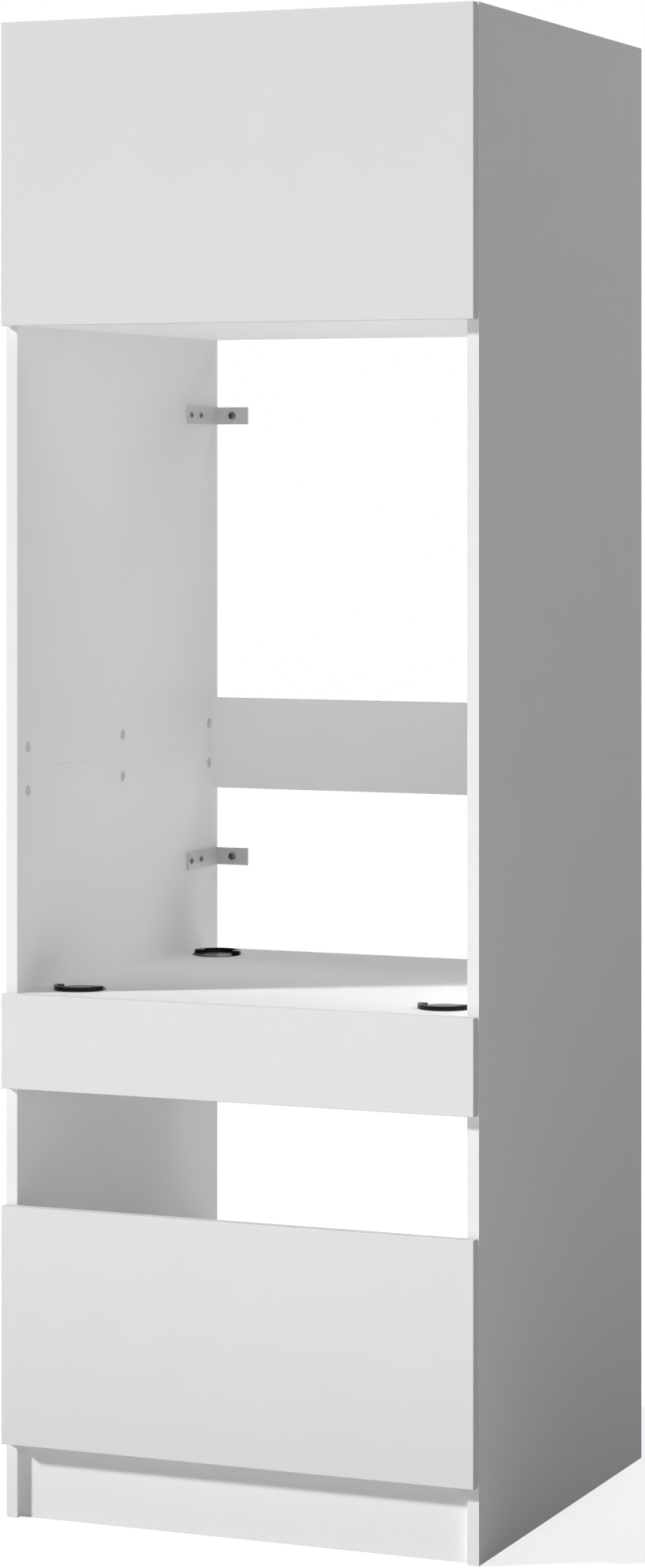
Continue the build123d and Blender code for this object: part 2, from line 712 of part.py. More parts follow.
# Drawers: a front, a box behind it and a three-part runner along each side
def box_pins(bottom, height):
    """The dowels of a drawer box as (start, direction): from its sides into its front and its back."""
    side_x = box_outer_x - box_board / 2
    back_y = box_back - box_board / 2
    heights = (bottom + box_dowel_edge_distance + box_floor_height, bottom + height - box_dowel_edge_distance)
    pins = []
    for side in (LEFT, RIGHT):
        for z in heights:
            pins.append(((side * side_x, door_back - box_dowel_in_face, z), (0, 1, 0)))
            pins.append(((side * (box_inner_x + box_dowel_in_face), back_y, z), (-side, 0, 0)))
    return pins


def box_holes(bottom, height):
    """The holes for those dowels, a little deeper at both ends."""
    holes = []
    for start, direction in box_pins(bottom, height):
        mouth = Vector(*start) - Vector(*direction) * hole_extra_depth
        holes.append(rod(mouth, direction, box_dowel_radius + hole_play,
                         box_dowel_length + 2 * hole_extra_depth))
    return holes


def box_floor_space(bottom, play):
    """The sheet in the bottom of a drawer box; with play it is the groove that the sheet sits in."""
    reach = box_groove - groove_play + play
    return block(-box_inner_x - reach, box_inner_x + reach, door_back - reach, box_back - box_board + reach,
                 bottom + box_floor_height - play / 2, bottom + box_floor_height + box_floor + play / 2)


def runner_member(side, centre, half_height, web, rim):
    """One runner channel; web and rim are the distances of its two sides from the side panel."""
    inwards = 1 if rim > web else -1
    hollow = web + inwards * runner_sheet
    with BuildPart() as piece:
        add(block(side * (inner_x - web), side * (inner_x - rim), runner_front, runner_back,
                  centre - half_height, centre + half_height))
        add(block(side * (inner_x - hollow), side * (inner_x - rim), runner_front, runner_back,
                  centre - half_height + runner_sheet, centre + half_height - runner_sheet),
            mode=Mode.SUBTRACT)
    return piece.part


def runner_screws(centre, web_face, direction, play):
    """The flush screws of one pair of members; with play they are the screws' holes."""
    screws = []
    for side in (LEFT, RIGHT):
        for y in runner_screw_ys:
            screws.append(flat_screw((side * (inner_x - web_face), y, centre), (side * direction, 0, 0),
                                     runner_screw_radius + play, runner_screw_length,
                                     runner_screw_head_radius + play, runner_sheet))
    return screws


def drawer(name, front_bottom, front_height, bottom, height, runner_centre):
    """Every piece of one drawer, each saved to its own file."""
    holes = box_holes(bottom, height)
    groove = box_floor_space(bottom, groove_play)
    box_member_web = runner_width - runner_sheet
    box_screw_holes = runner_screws(runner_centre, box_member_web, -1, hole_play)
    with BuildPart() as front:
        add(front_panel(front_bottom, front_height))
        add(holes + [groove], mode=Mode.SUBTRACT)
    save(front.part, f"{name}_front")
    for side, hand in ((LEFT, "left"), (RIGHT, "right")):
        with BuildPart() as box_side:
            add(block(side * box_outer_x, side * box_inner_x, door_back, box_back, bottom, bottom + height))
            add(holes + box_screw_holes + [groove], mode=Mode.SUBTRACT)
        save(box_side.part, f"{name}_side_{hand}")
    with BuildPart() as back:
        add(block(-box_inner_x, box_inner_x, box_back - box_board, box_back, bottom, bottom + height))
        add(holes + [groove], mode=Mode.SUBTRACT)
    save(back.part, f"{name}_back")
    save(box_floor_space(bottom, 0), f"{name}_bottom")
    with BuildPart() as pins:
        for start, direction in box_pins(bottom, height):
            add(rod(start, direction, box_dowel_radius, box_dowel_length))
    save(pins.part, f"{name}_dowels")

    half = runner_height / 2
    step = runner_sheet + runner_play
    members = (("fixed", 0, box_member_web - runner_play, half),
               ("middle", step, box_member_web - runner_play, half - step),
               ("box", runner_width, 2 * step, half - 2 * step))
    for role, web, rim, half_height in members:
        with BuildPart() as pair:
            add([runner_member(side, runner_centre, half_height, web, rim) for side in (LEFT, RIGHT)])
            if role == "fixed":
                add(runner_screws(runner_centre, runner_sheet, 1, hole_play), mode=Mode.SUBTRACT)
            if role == "box":
                add(box_screw_holes, mode=Mode.SUBTRACT)
        save(pair.part, f"{name}_runners_{role}")
    with BuildPart() as box_screws:
        add(runner_screws(runner_centre, box_member_web, -1, 0))
    save(box_screws.part, f"{name}_box_screws")


drawer("tray", platform_top - tray_front_height, tray_front_height, tray_box_bottom, tray_box_height,
       tray_runner_z)
drawer("drawer", drawer_front_bottom, drawer_front_height, drawer_box_bottom, drawer_box_height,
       drawer_runner_z)

with BuildPart() as runner_side_screws:
    for centre in (drawer_runner_z, tray_runner_z):
        add(runner_screws(centre, runner_sheet, 1, 0))
save(runner_side_screws.part, "runner_side_screws")
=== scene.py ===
"""Looks of the tall washing machine housing: finishes, visible fastenings, camera, floor and light."""
import json
import math

import bpy
from bpy.props import FloatProperty, FloatVectorProperty, PointerProperty
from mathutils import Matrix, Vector


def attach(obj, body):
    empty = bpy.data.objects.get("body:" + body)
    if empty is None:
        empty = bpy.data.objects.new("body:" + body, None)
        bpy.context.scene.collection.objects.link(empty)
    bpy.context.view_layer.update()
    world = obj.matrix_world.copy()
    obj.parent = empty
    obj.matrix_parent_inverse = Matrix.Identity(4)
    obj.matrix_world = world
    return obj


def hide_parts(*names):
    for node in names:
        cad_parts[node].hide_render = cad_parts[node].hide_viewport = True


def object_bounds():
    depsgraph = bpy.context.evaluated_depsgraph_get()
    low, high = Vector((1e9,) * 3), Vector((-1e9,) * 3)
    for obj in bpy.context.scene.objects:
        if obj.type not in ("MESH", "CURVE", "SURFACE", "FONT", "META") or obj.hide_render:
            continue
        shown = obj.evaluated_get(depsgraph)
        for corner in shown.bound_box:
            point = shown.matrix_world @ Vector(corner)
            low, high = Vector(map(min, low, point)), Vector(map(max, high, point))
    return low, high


bl_info = {
    "name": "Washing machine housing",
    "version": (1, 0, 0),
    "blender": (4, 5, 0),
    "location": "3D Viewport > Sidebar > Housing",
    "description": "Finishes and small fastenings of a tall washing machine housing",
    "category": "Object",
}

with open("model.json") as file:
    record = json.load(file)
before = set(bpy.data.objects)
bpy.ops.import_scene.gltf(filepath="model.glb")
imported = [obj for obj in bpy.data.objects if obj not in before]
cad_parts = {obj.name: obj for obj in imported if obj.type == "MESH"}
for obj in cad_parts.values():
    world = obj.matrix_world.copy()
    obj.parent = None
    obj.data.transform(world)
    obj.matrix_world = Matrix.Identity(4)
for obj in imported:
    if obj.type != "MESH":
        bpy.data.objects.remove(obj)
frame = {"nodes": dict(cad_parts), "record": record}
CAD_BOX = [list(corner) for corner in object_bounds()]

# Planes and levels of the housing that its fastenings sit on, in metres
SIDES = (-1, 1)
BOARD = 0.016
FRONT_GAP = 0.002
OUTER_X = CAD_BOX[1][0]
INNER_X = OUTER_X - BOARD
CARCASS_BACK = CAD_BOX[1][1]
CARCASS_FRONT = CAD_BOX[0][1] + BOARD + FRONT_GAP
PLATFORM_TOP = 0.702

# Wall brackets and the steel angles under the platform
BRACKET_SHEET = 0.003
BRACKET_HEIGHTS = (0.832, 1.482)
BRACKET_SIDE_LEG = 0.109
BRACKET_SCREW_REACHES = (0.011, 0.044)
BRACKET_SCREW_YS = [CARCASS_BACK - BRACKET_SIDE_LEG + reach for reach in BRACKET_SCREW_REACHES]
WALL_SCREW_INSET = 0.025
ANGLE_SCREW_HEIGHT = 0.655
ANGLE_SCREW_SETBACK = 0.065
ANGLE_SCREW_PITCH = 0.158
ANGLE_SCREW_YS = [CARCASS_FRONT + ANGLE_SCREW_SETBACK + step * ANGLE_SCREW_PITCH for step in range(4)]

# Foot holders: the places of their middles, with the way that their walls face
HOLDER_X = INNER_X - 0.0585
HOLDER_FRONT_Y = CARCASS_FRONT + 0.0705
HOLDER_PITCH = 0.4515
HOLDER_YS = ((HOLDER_FRONT_Y, -1), (HOLDER_FRONT_Y + HOLDER_PITCH, 1))
HOLDER_HEIGHT = 0.0062
HOLDER_SCREW_REACH = 0.029
HOLDER_SCREW_STEP = 0.005

# Hinges
HINGE_HEIGHTS = (1.674, 1.919)
CUP_SCREW_X = -0.3079
CUP_SCREW_RISE = 0.026
CUP_FLANGE_BACK = -0.31925
PLATE_SCREW_Y = CARCASS_FRONT + 0.037
PLATE_SCREW_RISE = 0.016
PLATE_SHEET = 0.0022
ARM_WEB_X = -0.309
ARM_SCREW_YS = (-0.286, -0.258)

# Runners
RUNNER_SCREW_SETBACK = 0.052
RUNNER_SCREW_PITCH = 0.4
RUNNER_SCREW_YS = [CARCASS_FRONT + RUNNER_SCREW_SETBACK + step * RUNNER_SCREW_PITCH for step in range(2)]
RUNNER_SHEET = 0.0012
RUNNER_BOX_WEB = 0.0115
RUNNER_HEIGHTS = {"tray": 0.613, "drawer": 0.191}

# Shares of a screw's own sizes
RIM_SHARE = 0.55
TIP_SHARE = 0.25
RECESS_REACH_SHARE = 0.6
RECESS_DEPTH_SHARE = 0.7

# Lamps: places and sizes in metres, and where the sky is brightest
FRONT_CARD_PLACE = (0, -2.6, 0.02)
FRONT_CARD_SIZE = (3.4, 3.4)
REAR_CARD_PLACE = (0, 2.2, 0.02)
REAR_CARD_SIZE = (0.66, 3.4)
REAR_BOARD_PLACE = (0, 3, 1.2)
REAR_BOARD_SIZE = (0.66, 2.4)
HIGH_LAMP_PLACE = (1.9, 2, 4.3)
HIGH_LAMP_TARGET = (0.34, 0.2, 1.4)
HIGH_LAMP_SIZE = (1.5, 1.5)
LEFT_SKY = (-0.8, 0.1, 0.6)
FRONT_SKY = (0.5, -0.85, 0.05)
FLOOR_SIZE = 30
FLOOR_DROP = 0.0005


class HousingFinish(bpy.types.PropertyGroup):
    """Colours and textures of the housing's surfaces."""

    board_colour: FloatVectorProperty(
        name="Board colour", description="Melamine face of the carcass boards",
        subtype="COLOR", size=3, min=0, max=1, default=(0.93, 0.93, 0.94))
    front_colour: FloatVectorProperty(
        name="Front colour", description="Matt face of the door and the drawer fronts",
        subtype="COLOR", size=3, min=0, max=1, default=(0.825, 0.825, 0.835))
    steel_colour: FloatVectorProperty(
        name="Bracket colour", description="Light grey coat of the brackets",
        subtype="COLOR", size=3, min=0, max=1, default=(0.61, 0.61, 0.61))
    plastic_colour: FloatVectorProperty(
        name="Foot holder colour", description="Moulded plastic of the foot holders",
        subtype="COLOR", size=3, min=0, max=1, default=(0.006, 0.006, 0.007))
    board_roughness: FloatProperty(
        name="Board roughness", description="How matt the boards are", subtype="FACTOR",
        min=0, max=1, default=0.6)


def length_property(name, description, default):
    """A small length in metres."""
    return FloatProperty(name=name, description=description, subtype="DISTANCE", unit="LENGTH",
                         min=0.0001, max=0.1, precision=4, default=default)


class HousingScrews(bpy.types.PropertyGroup):
    """Sizes of the screws."""

    wall_head: length_property("Wall head", "Radius of a wall screw's head", 0.0053)
    wall_head_height: length_property("Wall head height", "Height of a wall screw's head", 0.0032)
    wall_shank: length_property("Wall shank", "Radius of a wall screw's shank", 0.0025)
    bracket_head: length_property("Bracket head", "Radius of the head of a bracket's screw", 0.004)
    bracket_head_height: length_property("Bracket head height", "Height of a bracket's screw's head", 0.002)
    board_length: length_property("Board screw", "Length of the screws of brackets and foot holders", 0.014)
    holder_head: length_property("Holder head", "Radius of the flat head of a foot holder's screw", 0.0033)
    holder_head_height: length_property("Holder head height", "Depth of that flat head", 0.0016)
    hinge_head: length_property("Hinge head", "Radius of the head of a hinge's screw", 0.0035)
    hinge_length: length_property("Hinge screw", "Length of a hinge's screw", 0.012)
    cup_head_height: length_property("Cup head height", "Height of the head of a hinge cup's screw", 0.0012)
    plate_head_height: length_property("Plate head height", "Height of the head of a plate's screw", 0.002)
    setting_head: length_property("Setting head", "Radius of the head of an arm's setting screw", 0.0028)
    setting_head_height: length_property("Setting head height", "Height of that head", 0.0012)
    setting_length: length_property("Setting screw", "Length of an arm's setting screw", 0.002)
    runner_head: length_property("Runner head", "Radius of the flat head of a runner's screw", 0.003)
    runner_length: length_property("Runner screw", "Length of a runner's screw", 0.009)
    shank: length_property("Shank", "Radius of the shank of the wood screws", 0.00175)
    thin_shank: length_property("Thin shank", "Radius of the shank of runner and setting screws", 0.0015)


class HousingStage(bpy.types.PropertyGroup):
    """Camera and light."""

    lens: FloatProperty(
        name="Lens", description="Focal length for a 36 mm high frame", subtype="NONE",
        min=10, max=400, default=98.09)
    turn: FloatProperty(
        name="Camera turn", description="Turn of the camera about the upright",
        subtype="ANGLE", unit="ROTATION", default=math.radians(22.707))
    shift: FloatProperty(
        name="Camera shift", description="Vertical shift, as a share of the frame's height",
        default=-0.1978)
    key_turn: FloatProperty(
        name="Key turn", description="How far the key lamp stands to the left of straight in front",
        subtype="ANGLE", unit="ROTATION", default=math.radians(59.2))
    key_height: FloatProperty(
        name="Key height", description="How high the key lamp stands above the middle of the housing",
        subtype="ANGLE", unit="ROTATION", default=math.radians(28.7))
    key_spread: FloatProperty(
        name="Key spread", description="How large the key lamp looks, which softens its shadows",
        subtype="ANGLE", unit="ROTATION", default=math.radians(5))
    key_power: FloatProperty(
        name="Key power", description="Strength of the key lamp", min=0, max=20, default=3)
    front_card_power: FloatProperty(
        name="Front card power", description="Power of the bounce card on the floor in front",
        subtype="POWER", unit="POWER", default=26)
    rear_card_power: FloatProperty(
        name="Rear card power", description="Power of the card on the floor behind the housing",
        subtype="POWER", unit="POWER", default=12)
    rear_board_power: FloatProperty(
        name="Rear board power", description="Power of the board that stands behind the housing",
        subtype="POWER", unit="POWER", default=22)
    high_power: FloatProperty(
        name="High lamp power", description="Power of the lamp high up behind the right side",
        subtype="POWER", unit="POWER", default=20)
    sky: FloatProperty(
        name="Sky", description="Strength of the pale light from the upper left", min=0, max=20, default=0.3)
    front_sky: FloatProperty(
        name="Front sky", description="Strength of the pale light from the right of the front",
        min=0, max=20, default=1.05)
    place: FloatVectorProperty(
        name="Camera place", description="Where the camera stands", subtype="TRANSLATION",
        unit="LENGTH", size=3, default=(2.26096, -5.43249, 1.39637))


def deselect_all():
    """Leave edit mode and clear the selection."""
    if bpy.context.object and bpy.context.object.mode != "OBJECT":
        bpy.ops.object.mode_set(mode="OBJECT")
    bpy.ops.object.select_all(action="DESELECT")


def new_material(name, colour, roughness):
    """A node material with a Principled shader; the uniform values sit on the shader's own sockets."""
    material = bpy.data.materials.new(name)
    material.use_nodes = True
    shader = material.node_tree.nodes["Principled BSDF"]
    shader.inputs["Base Color"].default_value = (*colour, 1)
    shader.inputs["Roughness"].default_value = roughness
    return material, material.node_tree, shader


def add_noise(tree, scale, detail, stretch=(1, 1, 1)):
    """Noise on Object coordinates, stretched along the axes."""
    coordinates = tree.nodes.new("ShaderNodeTexCoord")
    mapping = tree.nodes.new("ShaderNodeMapping")
    mapping.inputs["Scale"].default_value = stretch
    noise = tree.nodes.new("ShaderNodeTexNoise")
    noise.inputs["Scale"].default_value = scale
    noise.inputs["Detail"].default_value = detail
    tree.links.new(coordinates.outputs["Object"], mapping.inputs["Vector"])
    tree.links.new(mapping.outputs["Vector"], noise.inputs["Vector"])
    return noise.outputs["Fac"]


def vary_colour(tree, shader, factor, colour, spread):
    """The base colour wanders a little, darker and lighter by the spread."""
    ramp = tree.nodes.new("ShaderNodeValToRGB")
    ramp.color_ramp.elements[0].position = 0.3
    ramp.color_ramp.elements[1].position = 0.7
    ramp.color_ramp.elements[0].color = (*[share * (1 - spread) for share in colour], 1)
    ramp.color_ramp.elements[1].color = (*[min(1, share * (1 + spread)) for share in colour], 1)
    tree.links.new(factor, ramp.inputs["Fac"])
    tree.links.new(ramp.outputs["Color"], shader.inputs["Base Color"])


def vary_roughness(tree, shader, factor, low, high):
    """The roughness wanders between two values."""
    span = tree.nodes.new("ShaderNodeMapRange")
    span.inputs["To Min"].default_value = low
    span.inputs["To Max"].default_value = high
    tree.links.new(factor, span.inputs["Value"])
    tree.links.new(span.outputs["Result"], shader.inputs["Roughness"])


def add_bump(tree, shader, factor, strength, distance):
    """A fine relief."""
    bump = tree.nodes.new("ShaderNodeBump")
    bump.inputs["Strength"].default_value = strength
    bump.inputs["Distance"].default_value = distance
    tree.links.new(factor, bump.inputs["Height"])
    tree.links.new(bump.outputs["Normal"], shader.inputs["Normal"])


def board_material(name, colour, roughness):
    """White melamine: an even colour with a faint mottle and a fine orange-peel relief."""
    material, tree, shader = new_material(name, colour, roughness)
    shader.inputs["Specular IOR Level"].default_value = 0.1
    vary_colour(tree, shader, add_noise(tree, scale=9, detail=3), colour, 0.006)
    vary_roughness(tree, shader, add_noise(tree, scale=60, detail=2), roughness - 0.05, roughness + 0.05)
    add_bump(tree, shader, add_noise(tree, scale=900, detail=2), strength=0.12, distance=0.0002)
    return material


def plastic_material(name, colour, roughness):
    """Moulded plastic with a fine grain."""
    material, tree, shader = new_material(name, colour, roughness)
    shader.inputs["Specular IOR Level"].default_value = 0.15
    vary_colour(tree, shader, add_noise(tree, scale=120, detail=2), colour, 0.05)
    vary_roughness(tree, shader, add_noise(tree, scale=400, detail=2), roughness - 0.04, roughness + 0.06)
    add_bump(tree, shader, add_noise(tree, scale=1500, detail=1), strength=0.05, distance=0.0001)
    return material


def coated_steel_material(name, colour):
    """Powder coat on sheet steel."""
    material, tree, shader = new_material(name, colour, 0.45)
    vary_colour(tree, shader, add_noise(tree, scale=200, detail=3), colour, 0.04)
    vary_roughness(tree, shader, add_noise(tree, scale=500, detail=2), 0.38, 0.52)
    add_bump(tree, shader, add_noise(tree, scale=1800, detail=2), strength=0.15, distance=0.0002)
    return material


def plated_metal_material(name, colour, roughness, stretch=(1, 1, 1)):
    """Plated metal whose roughness wanders between two values, with drawn streaks where it is stretched."""
    low, high = roughness
    material, tree, shader = new_material(name, colour, low)
    shader.inputs["Metallic"].default_value = 1
    factor = add_noise(tree, scale=60, detail=4, stretch=stretch)
    vary_colour(tree, shader, factor, colour, 0.06)
    vary_roughness(tree, shader, factor, low, high)
    return material


def wood_material(name, colour):
    """Beech with a short fine grain."""
    material, tree, shader = new_material(name, colour, 0.6)
    factor = add_noise(tree, scale=300, detail=4, stretch=(0.1, 1, 1))
    vary_colour(tree, shader, factor, colour, 0.18)
    add_bump(tree, shader, factor, strength=0.1, distance=0.0002)
    return material


def make_materials(finish):
    """One material for each slot of the record, and for the modelled screws a metal whose base colour is
    darkened as a painted dark reflection.
    """
    board = finish.board_colour[:]
    front = finish.front_colour[:]
    rough = finish.board_roughness
    return {
        "white_board": board_material("white_board", board, rough),
        "front_lacquer": board_material("front_lacquer", front, rough),
        "white_hardboard": board_material("white_hardboard", [share * 0.97 for share in board], 0.6),
        "white_plastic": plastic_material("white_plastic", (0.64, 0.64, 0.65), 0.4),
        "black_plastic": plastic_material("black_plastic", finish.plastic_colour[:], 0.25),
        "coated_steel": coated_steel_material("coated_steel", finish.steel_colour[:]),
        "zinc_steel": plated_metal_material("zinc_steel", (0.55, 0.56, 0.58), (0.28, 0.42), (1, 0.05, 1)),
        # Painted reflection: the screws' base colour is darkened to stand in for dark surroundings, since
        # clear reflections see the white background
        "screw_steel_painted_dark": plated_metal_material("screw_steel_painted_dark", (0.17, 0.17, 0.18), (0.3, 0.42)),
        "nickel_steel": plated_metal_material("nickel_steel", (0.62, 0.61, 0.60), (0.16, 0.26), (1, 0.1, 1)),
        "zinc_casting": plated_metal_material("zinc_casting", (0.50, 0.51, 0.52), (0.4, 0.55)),
        "beech": wood_material("beech", (0.62, 0.42, 0.24)),
    }


class HOUSING_OT_finishes(bpy.types.Operator):
    """Give every CAD node the finish of its slot"""

    bl_idname = "housing.finishes"
    bl_label = "Finishes"

    def execute(self, context):
        materials = make_materials(context.scene.housing_finish)
        slots = {part["node"]: part["material_slot"] for part in frame["record"]["subparts"]}
        for name, node in frame["nodes"].items():
            node.data.materials.clear()
            node.data.materials.append(materials[slots[name]])
        return {"FINISHED"}


def start_screw(name, head_radius, head_height):
    """A round blank that stands on the seat, with its head upwards."""
    deselect_all()
    bpy.ops.mesh.primitive_cylinder_add(vertices=32, radius=head_radius, depth=head_height,
                                        location=(0, 0, head_height / 2))
    screw = bpy.context.object
    screw.name = name
    bpy.ops.object.transform_apply(location=True)
    return screw


def select_level(screw, height):
    """Select the flat face of a blank at that height, in edit mode."""
    deselect_all()
    bpy.context.view_layer.objects.active = screw
    screw.select_set(True)
    bpy.ops.object.mode_set(mode="EDIT")
    bpy.ops.mesh.select_all(action="DESELECT")
    bpy.ops.object.mode_set(mode="OBJECT")
    chosen = 0
    for face in screw.data.polygons:
        face.select = abs(face.center.z - height) < 1e-6 and abs(face.normal.z) > 0.99
        chosen += face.select
    if chosen != 1:
        raise RuntimeError(f"{screw.name}: {chosen} faces at {height}")
    bpy.ops.object.mode_set(mode="EDIT")
    bpy.ops.mesh.select_mode(type="FACE")


def round_head(screw, head_height):
    """Round the rim of a pan head."""
    select_level(screw, head_height)
    bpy.ops.mesh.region_to_loop()
    bpy.ops.mesh.bevel(offset=head_height * RIM_SHARE, segments=4, affect="EDGES", profile=0.5)
    bpy.ops.object.mode_set(mode="OBJECT")


def draw_shank(screw, head_radius, shank_radius, length):
    """Draw the shank out of the underside of the head and end it in a blunt tip."""
    select_level(screw, 0)
    bpy.ops.mesh.inset(thickness=head_radius - shank_radius)
    bpy.ops.mesh.extrude_region_move(TRANSFORM_OT_translate={"value": (0, 0, -length + 2 * shank_radius)})
    bpy.ops.mesh.extrude_region_move(TRANSFORM_OT_translate={"value": (0, 0, -2 * shank_radius)})
    bpy.ops.transform.resize(value=(TIP_SHARE, TIP_SHARE, 1))
    bpy.ops.object.mode_set(mode="OBJECT")


def cut_cross(screw, top, radius, depth):
    """Cut a cross recess that narrows downwards into the top of a head; radius is its reach at the top."""
    for turn in (0, math.pi / 2):
        deselect_all()
        bpy.ops.mesh.primitive_cube_add(size=1, location=(0, 0, top))
        cutter = bpy.context.object
        cutter.scale = (2.7 * radius, radius * 0.75, 2 * depth)
        cutter.rotation_euler = (0, 0, turn)
        bpy.ops.object.transform_apply(location=True, rotation=True, scale=True)
        select_level(cutter, top - depth)
        bpy.ops.transform.resize(value=(0.45, 0.6, 1) if turn == 0 else (0.6, 0.45, 1))
        bpy.ops.object.mode_set(mode="OBJECT")
        cut = screw.modifiers.new("cross", "BOOLEAN")
        cut.operation = "DIFFERENCE"
        cut.solver = "EXACT"
        cut.object = cutter
        deselect_all()
        bpy.context.view_layer.objects.active = screw
        screw.select_set(True)
        bpy.ops.object.modifier_apply(modifier=cut.name)
        bpy.data.objects.remove(cutter)


def make_pan_screw(name, head_radius, head_height, shank_radius, length):
    """A screw whose rounded head lies on its seat at the origin."""
    screw = start_screw(name, head_radius, head_height)
    round_head(screw, head_height)
    draw_shank(screw, head_radius, shank_radius, length)
    cut_cross(screw, head_height, head_radius * RECESS_REACH_SHARE, head_height * RECESS_DEPTH_SHARE)
    return screw


def make_flat_screw(name, head_radius, head_height, shank_radius, length):
    """A screw whose cone-shaped head ends flush at the origin."""
    screw = start_screw(name, head_radius, head_height)
    select_level(screw, 0)
    bpy.ops.transform.resize(value=(shank_radius / head_radius, shank_radius / head_radius, 1))
    bpy.ops.mesh.extrude_region_move(
        TRANSFORM_OT_translate={"value": (0, 0, -length + head_height + 2 * shank_radius)})
    bpy.ops.mesh.extrude_region_move(TRANSFORM_OT_translate={"value": (0, 0, -2 * shank_radius)})
    bpy.ops.transform.resize(value=(TIP_SHARE, TIP_SHARE, 1))
    bpy.ops.object.mode_set(mode="OBJECT")
    screw.location.z = -head_height
    bpy.ops.object.transform_apply(location=True)
    cut_cross(screw, 0, head_radius * RECESS_REACH_SHARE, head_height * RECESS_DEPTH_SHARE)
    return screw


def finish_screw(screw):
    """Smooth the round faces, turn every face outwards and give the screw its metal."""
    deselect_all()
    bpy.context.view_layer.objects.active = screw
    screw.select_set(True)
    bpy.ops.object.mode_set(mode="EDIT")
    bpy.ops.mesh.select_all(action="SELECT")
    bpy.ops.mesh.normals_make_consistent(inside=False)
    bpy.ops.object.mode_set(mode="OBJECT")
    bpy.ops.object.shade_smooth_by_angle(angle=math.radians(35))
    screw.data.materials.append(bpy.data.materials["screw_steel_painted_dark"])


def set_screws(screw, spots, body, node=None):
    """Put a copy of the screw on each spot, given as its place and the way that its head faces."""
    finish_screw(screw)
    for number, (place, outwards) in enumerate(spots, 1):
        deselect_all()
        bpy.context.view_layer.objects.active = screw
        screw.select_set(True)
        bpy.ops.object.duplicate(linked=False)
        copy = bpy.context.object
        copy.name = f"{screw.name}_{number:02d}"
        copy.location = place
        copy.rotation_euler = Vector(outwards).to_track_quat("Z", "Y").to_euler()
        bpy.ops.object.transform_apply(location=True, rotation=True)
        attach(copy, body)
        if node:
            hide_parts(node)
    bpy.data.objects.remove(screw)


class HOUSING_OT_wall_screws(bpy.types.Operator):
    """Add the four screws that hold the brackets' back legs to the wall"""

    bl_idname = "housing.wall_screws"
    bl_label = "Wall screws"

    def execute(self, context):
        sizes = context.scene.housing_screws
        screw = make_pan_screw("wall_screw", sizes.wall_head, sizes.wall_head_height, sizes.wall_shank,
                               BRACKET_SHEET)
        spots = [((side * (INNER_X - WALL_SCREW_INSET), CARCASS_BACK - BRACKET_SHEET, z), (0, -1, 0))
                 for side in SIDES for z in BRACKET_HEIGHTS]
        set_screws(screw, spots, "carcass")
        return {"FINISHED"}


class HOUSING_OT_bracket_screws(bpy.types.Operator):
    """Model the screws of the wall brackets and of the steel angles"""

    bl_idname = "housing.bracket_screws"
    bl_label = "Bracket screws"

    def execute(self, context):
        sizes = context.scene.housing_screws
        screw = make_pan_screw("bracket_screw", sizes.bracket_head, sizes.bracket_head_height, sizes.shank,
                               sizes.board_length)
        seats = [(y, z) for z in BRACKET_HEIGHTS for y in BRACKET_SCREW_YS]
        seats += [(y, ANGLE_SCREW_HEIGHT) for y in ANGLE_SCREW_YS]
        spots = [((side * (INNER_X - BRACKET_SHEET), y, z), (-side, 0, 0))
                 for side in SIDES for y, z in seats]
        set_screws(screw, spots, "carcass", "bracket_screws")
        return {"FINISHED"}


class HOUSING_OT_holder_screws(bpy.types.Operator):
    """Model the flush screws of the foot holders"""

    bl_idname = "housing.holder_screws"
    bl_label = "Foot holder screws"

    def execute(self, context):
        sizes = context.scene.housing_screws
        screw = make_flat_screw("holder_screw", sizes.holder_head, sizes.holder_head_height, sizes.shank,
                                sizes.board_length)
        level = PLATFORM_TOP + HOLDER_HEIGHT
        spots = [((side * HOLDER_X + end * HOLDER_SCREW_REACH, y + towards * HOLDER_SCREW_STEP, level),
                  (0, 0, 1)) for side in SIDES for y, towards in HOLDER_YS for end in SIDES]
        set_screws(screw, spots, "carcass", "foot_holder_screws")
        return {"FINISHED"}


class HOUSING_OT_hinge_screws(bpy.types.Operator):
    """Model the screws of the hinges' cups and plates, and the small setting screws of their arms"""

    bl_idname = "housing.hinge_screws"
    bl_label = "Hinge screws"

    def execute(self, context):
        sizes = context.scene.housing_screws
        screw = make_pan_screw("cup_screw", sizes.hinge_head, sizes.cup_head_height, sizes.shank,
                               sizes.hinge_length)
        spots = [((CUP_SCREW_X, CUP_FLANGE_BACK, z + rise), (0, 1, 0))
                 for z in HINGE_HEIGHTS for rise in (-CUP_SCREW_RISE, CUP_SCREW_RISE)]
        set_screws(screw, spots, "door", "cup_screws")
        screw = make_pan_screw("plate_screw", sizes.hinge_head, sizes.plate_head_height, sizes.shank,
                               sizes.hinge_length)
        spots = [((PLATE_SHEET - INNER_X, PLATE_SCREW_Y, z + rise), (1, 0, 0))
                 for z in HINGE_HEIGHTS for rise in (-PLATE_SCREW_RISE, PLATE_SCREW_RISE)]
        set_screws(screw, spots, "carcass", "plate_screws")
        screw = make_pan_screw("setting_screw", sizes.setting_head, sizes.setting_head_height,
                               sizes.thin_shank, sizes.setting_length)
        spots = [((ARM_WEB_X, y, z), (1, 0, 0)) for z in HINGE_HEIGHTS for y in ARM_SCREW_YS]
        set_screws(screw, spots, "carcass")
        return {"FINISHED"}


